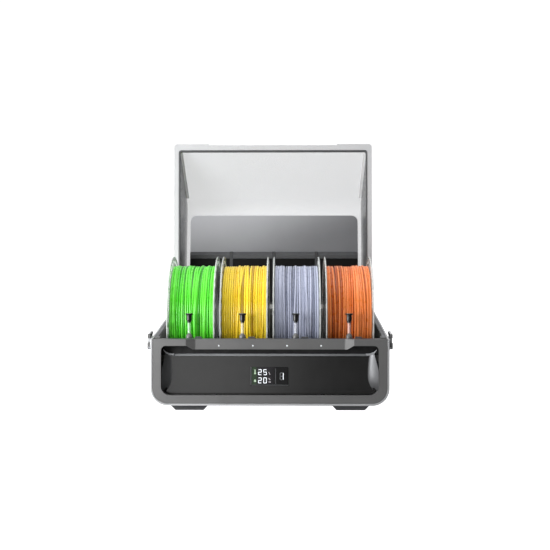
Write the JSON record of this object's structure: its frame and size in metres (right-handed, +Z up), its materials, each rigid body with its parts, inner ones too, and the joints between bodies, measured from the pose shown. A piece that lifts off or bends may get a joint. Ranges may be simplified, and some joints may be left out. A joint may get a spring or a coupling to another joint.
{
  "type": "filament dryer box",
  "caption": "Heated dryer box that holds filament reels in a row on powered rollers, with a slanted front display, side latches and a deep hinged translucent lid.",
  "frame": {"origin": "middle of the bottom of the whole object with its lid open, on the plane its feet stand on", "axes": "+Z up, the display faces -Y, +X to the right of someone who faces the display"},
  "size_m": [0.3814, 0.4668, 0.4526],
  "materials": {
    "silver": "satin silver-white skin",
    "dark_grey": "matt dark grey moulding",
    "satin_grey": "satin warm grey moulding",
    "gloss_panel": "gloss dark grey moulding",
    "black": "matt black moulding",
    "rubber": "soft black rubber",
    "screen": "gloss black lit window",
    "board": "green circuit board with parts",
    "light_guide": "clear light guide with white points",
    "steel": "plain steel",
    "heater_metal": "bare aluminium fins",
    "lid_white": "silver-white satin moulding",
    "lid_clear": "smoky translucent moulding",
    "lid_inner": "light grey translucent sheet",
    "reel_clear": "clear reel moulding",
    "tube_clear": "translucent tube",
    "filament_1": "glossy green filament",
    "filament_2": "glossy yellow filament",
    "filament_3": "glossy silver-lavender filament",
    "filament_4": "glossy orange filament"
  },
  "bodies": {
    "base": {"bay_tray": "dark_grey", "control_board": "board", "display_board": "board", "display_screen": "screen", "fan_housing": "black", "feeder_housing_1": "satin_grey", "feeder_housing_2": "satin_grey", "feeder_housing_3": "satin_grey", "feeder_housing_4": "satin_grey", "foot_front_left": "rubber", "foot_front_right": "rubber", "foot_rear_left": "rubber", "foot_rear_right": "rubber", "front_bezel": "satin_grey", "front_panel": "gloss_panel", "heater_block": "heater_metal", "hinge_pin_left": "steel", "hinge_pin_right": "steel", "inlet_cap_1": "black", "inlet_cap_2": "black", "inlet_cap_3": "black", "inlet_cap_4": "black", "inlet_tube_1": "tube_clear", "inlet_tube_2": "tube_clear", "inlet_tube_3": "tube_clear", "inlet_tube_4": "tube_clear", "outer_shell": "silver", "rear_cover": "satin_grey", "rear_socket": "black", "rear_tray": "dark_grey", "status_light_guide": "light_guide", "tray_rim": "dark_grey"},
    "lid": {"desiccant_box_1": "black", "desiccant_box_2": "black", "desiccant_box_3": "black", "desiccant_box_4": "black", "desiccant_tray": "dark_grey", "lid_frame": "lid_white", "lid_seal": "rubber", "lid_top_panel": "lid_inner", "lid_window": "lid_clear"},
    "latch_left": {"latch_left": "satin_grey"},
    "latch_right": {"latch_right": "satin_grey"},
    "fan": {"fan_rotor": "black"},
    "reel_1": {"spool_1": "reel_clear", "winding_1": "filament_1"},
    "roller_f1": {"roller_front_1": "rubber"},
    "roller_r1": {"roller_rear_1": "rubber"},
    "reel_2": {"spool_2": "reel_clear", "winding_2": "filament_2"},
    "roller_f2": {"roller_front_2": "rubber"},
    "roller_r2": {"roller_rear_2": "rubber"},
    "reel_3": {"spool_3": "reel_clear", "winding_3": "filament_3"},
    "roller_f3": {"roller_front_3": "rubber"},
    "roller_r3": {"roller_rear_3": "rubber"},
    "reel_4": {"spool_4": "reel_clear", "winding_4": "filament_4"},
    "roller_f4": {"roller_front_4": "rubber"},
    "roller_r4": {"roller_rear_4": "rubber"}
  },
  "joints": [
    {"name": "lid_hinge", "type": "hinge", "parent": "base", "child": "lid", "pos_m": [0, 0.07361, 0.1445], "axis": [1, 0, 0], "range_deg": [0, 98]},
    {"name": "latch_left_pivot", "type": "hinge", "parent": "base", "child": "latch_left", "pos_m": [-0.1877, -0.20455, 0.09885], "axis": [0, -0.9929, -0.1191], "range_deg": [-5, 80]},
    {"name": "latch_right_pivot", "type": "hinge", "parent": "base", "child": "latch_right", "pos_m": [0.1877, -0.20455, 0.09885], "axis": [0, 0.9929, 0.1191], "range_deg": [-5, 80]},
    {"name": "fan_spin", "type": "hinge", "parent": "base", "child": "fan", "pos_m": [0, 0.0346, 0.1055], "axis": [0, 0, 1], "continuous": true},
    {"name": "reel_1_spin", "type": "hinge", "parent": "base", "child": "reel_1", "pos_m": [-0.126, -0.1034, 0.14], "axis": [1, 0, 0], "continuous": true},
    {"name": "roller_f1_spin", "type": "hinge", "parent": "base", "child": "roller_f1", "pos_m": [-0.126, -0.1661, 0.0504], "axis": [1, 0, 0], "continuous": true},
    {"name": "roller_r1_spin", "type": "hinge", "parent": "base", "child": "roller_r1", "pos_m": [-0.126, -0.0407, 0.0504], "axis": [1, 0, 0], "continuous": true},
    {"name": "reel_2_spin", "type": "hinge", "parent": "base", "child": "reel_2", "pos_m": [-0.042, -0.1034, 0.14], "axis": [1, 0, 0], "continuous": true},
    {"name": "roller_f2_spin", "type": "hinge", "parent": "base", "child": "roller_f2", "pos_m": [-0.042, -0.1661, 0.0504], "axis": [1, 0, 0], "continuous": true},
    {"name": "roller_r2_spin", "type": "hinge", "parent": "base", "child": "roller_r2", "pos_m": [-0.042, -0.0407, 0.0504], "axis": [1, 0, 0], "continuous": true},
    {"name": "reel_3_spin", "type": "hinge", "parent": "base", "child": "reel_3", "pos_m": [0.042, -0.1034, 0.14], "axis": [1, 0, 0], "continuous": true},
    {"name": "roller_f3_spin", "type": "hinge", "parent": "base", "child": "roller_f3", "pos_m": [0.042, -0.1661, 0.0504], "axis": [1, 0, 0], "continuous": true},
    {"name": "roller_r3_spin", "type": "hinge", "parent": "base", "child": "roller_r3", "pos_m": [0.042, -0.0407, 0.0504], "axis": [1, 0, 0], "continuous": true},
    {"name": "reel_4_spin", "type": "hinge", "parent": "base", "child": "reel_4", "pos_m": [0.126, -0.1034, 0.14], "axis": [1, 0, 0], "continuous": true},
    {"name": "roller_f4_spin", "type": "hinge", "parent": "base", "child": "roller_f4", "pos_m": [0.126, -0.1661, 0.0504], "axis": [1, 0, 0], "continuous": true},
    {"name": "roller_r4_spin", "type": "hinge", "parent": "base", "child": "roller_r4", "pos_m": [0.126, -0.0407, 0.0504], "axis": [1, 0, 0], "continuous": true}
  ],
  "couplings": [
    {"joint": "roller_f1_spin", "follows": "reel_1_spin", "ratio": -11.111},
    {"joint": "roller_r1_spin", "follows": "reel_1_spin", "ratio": -11.111},
    {"joint": "roller_f2_spin", "follows": "reel_2_spin", "ratio": -11.111},
    {"joint": "roller_r2_spin", "follows": "reel_2_spin", "ratio": -11.111},
    {"joint": "roller_f3_spin", "follows": "reel_3_spin", "ratio": -11.111},
    {"joint": "roller_r3_spin", "follows": "reel_3_spin", "ratio": -11.111},
    {"joint": "roller_f4_spin", "follows": "reel_4_spin", "ratio": -11.111},
    {"joint": "roller_r4_spin", "follows": "reel_4_spin", "ratio": -11.111}
  ]
}
